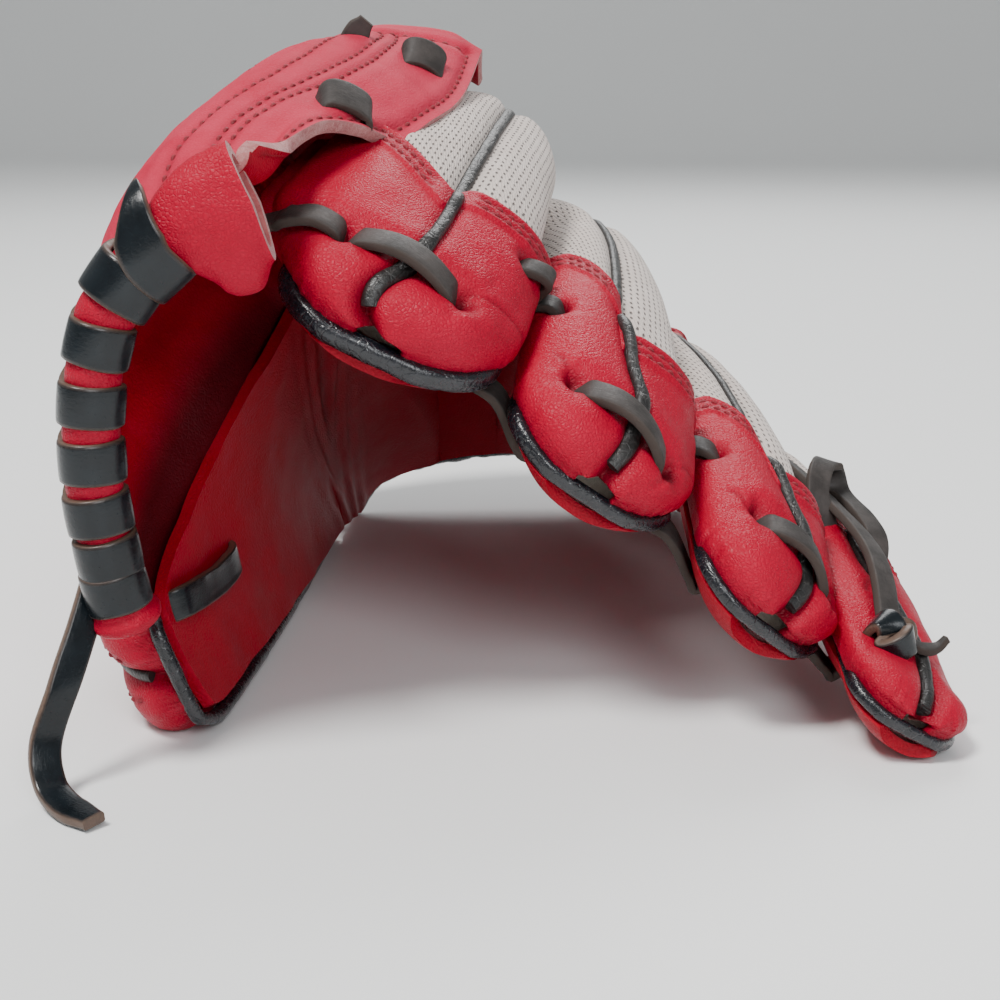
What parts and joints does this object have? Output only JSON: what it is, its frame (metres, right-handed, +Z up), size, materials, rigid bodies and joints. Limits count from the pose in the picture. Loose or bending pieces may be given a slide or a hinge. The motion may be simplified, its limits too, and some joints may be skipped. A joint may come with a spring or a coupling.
{
  "type": "baseball glove",
  "caption": "Laced leather ball glove lying palm down, with padded fingers on mesh backs, a laced web, a folding thumb and a hook-and-loop wrist strap.",
  "frame": {"origin": "middle of the underside's bounding box, on the surface the glove lies on", "axes": "+Z up, the finger tips point to -Y, the thumb is on the -X side and the wrist opens to +Y"},
  "size_m": [0.1408, 0.1828, 0.1085],
  "materials": {
    "red_leather": "grained red leather with a soft sheen",
    "lace_leather": "black flat lace with brown-grey raw edges",
    "black_trim": "glossy black rolled edge binding",
    "mesh_fabric": "warm grey knitted mesh",
    "felt": "pale pressed felt",
    "lining": "dark woven lining",
    "hook_and_loop": "black hook-and-loop tape",
    "insert_plastic": "white semi-rigid insert"
  },
  "bodies": {
    "hand": {"finger_lace": "lace_leather", "hand_back_panel": "red_leather", "heel_binding": "black_trim", "heel_felt_pad": "felt", "index_binding": "black_trim", "index_felt_pad": "felt", "index_mesh_back": "mesh_fabric", "index_tip_outward": "red_leather", "index_tip_thumbward": "red_leather", "index_welt": "black_trim", "middle_binding": "black_trim", "middle_felt_pad": "felt", "middle_mesh_back": "mesh_fabric", "middle_tip_outward": "red_leather", "middle_tip_thumbward": "red_leather", "middle_welt": "black_trim", "palm_felt_pad": "felt", "palm_lace_index_middle": "lace_leather", "palm_lace_middle_ring": "lace_leather", "palm_lace_ring_pinky": "lace_leather", "palm_leather": "red_leather", "palm_lining": "lining", "pinky_binding": "black_trim", "pinky_felt_pad": "felt", "pinky_lace_knot": "lace_leather", "pinky_lace_tail": "lace_leather", "pinky_mesh_back": "mesh_fabric", "pinky_stiffener": "insert_plastic", "pinky_tip_outward": "red_leather", "pinky_tip_thumbward": "red_leather", "pinky_welt": "black_trim", "ring_binding": "black_trim", "ring_felt_pad": "felt", "ring_mesh_back": "mesh_fabric", "ring_tip_outward": "red_leather", "ring_tip_thumbward": "red_leather", "ring_welt": "black_trim", "strap_loop_patch": "hook_and_loop", "web_edge_roll": "red_leather", "web_index_tab": "red_leather", "web_panel": "red_leather", "web_tab_lace_front": "lace_leather", "web_tab_lace_rear": "lace_leather", "web_wrap_lace": "lace_leather", "wrist_binding": "black_trim"},
    "thumb": {"thumb_binding": "black_trim", "thumb_cover_lower": "red_leather", "thumb_cover_upper": "red_leather", "thumb_felt_pad": "felt", "thumb_palm_lace": "lace_leather", "thumb_stiffener": "insert_plastic", "thumb_welt": "black_trim", "web_lace_tail": "lace_leather"},
    "strap": {"wrist_strap": "red_leather", "strap_hook_patch": "hook_and_loop"}
  },
  "joints": [
    {"name": "thumb_fold", "type": "hinge", "parent": "hand", "child": "thumb", "pos_m": [-0.04328, -0.01452, 0.07347], "axis": [-0.0705, -0.6849, 0.7252], "range_deg": [-10, 25], "deforming": ["palm_leather", "web_panel", "web_edge_roll", "web_wrap_lace"]},
    {"name": "strap_hinge", "type": "hinge", "parent": "hand", "child": "strap", "pos_m": [-0.04152, 0.06491, 0.04524], "axis": [-0.2391, -0.8954, 0.3757], "range_deg": [0, 115]}
  ]
}
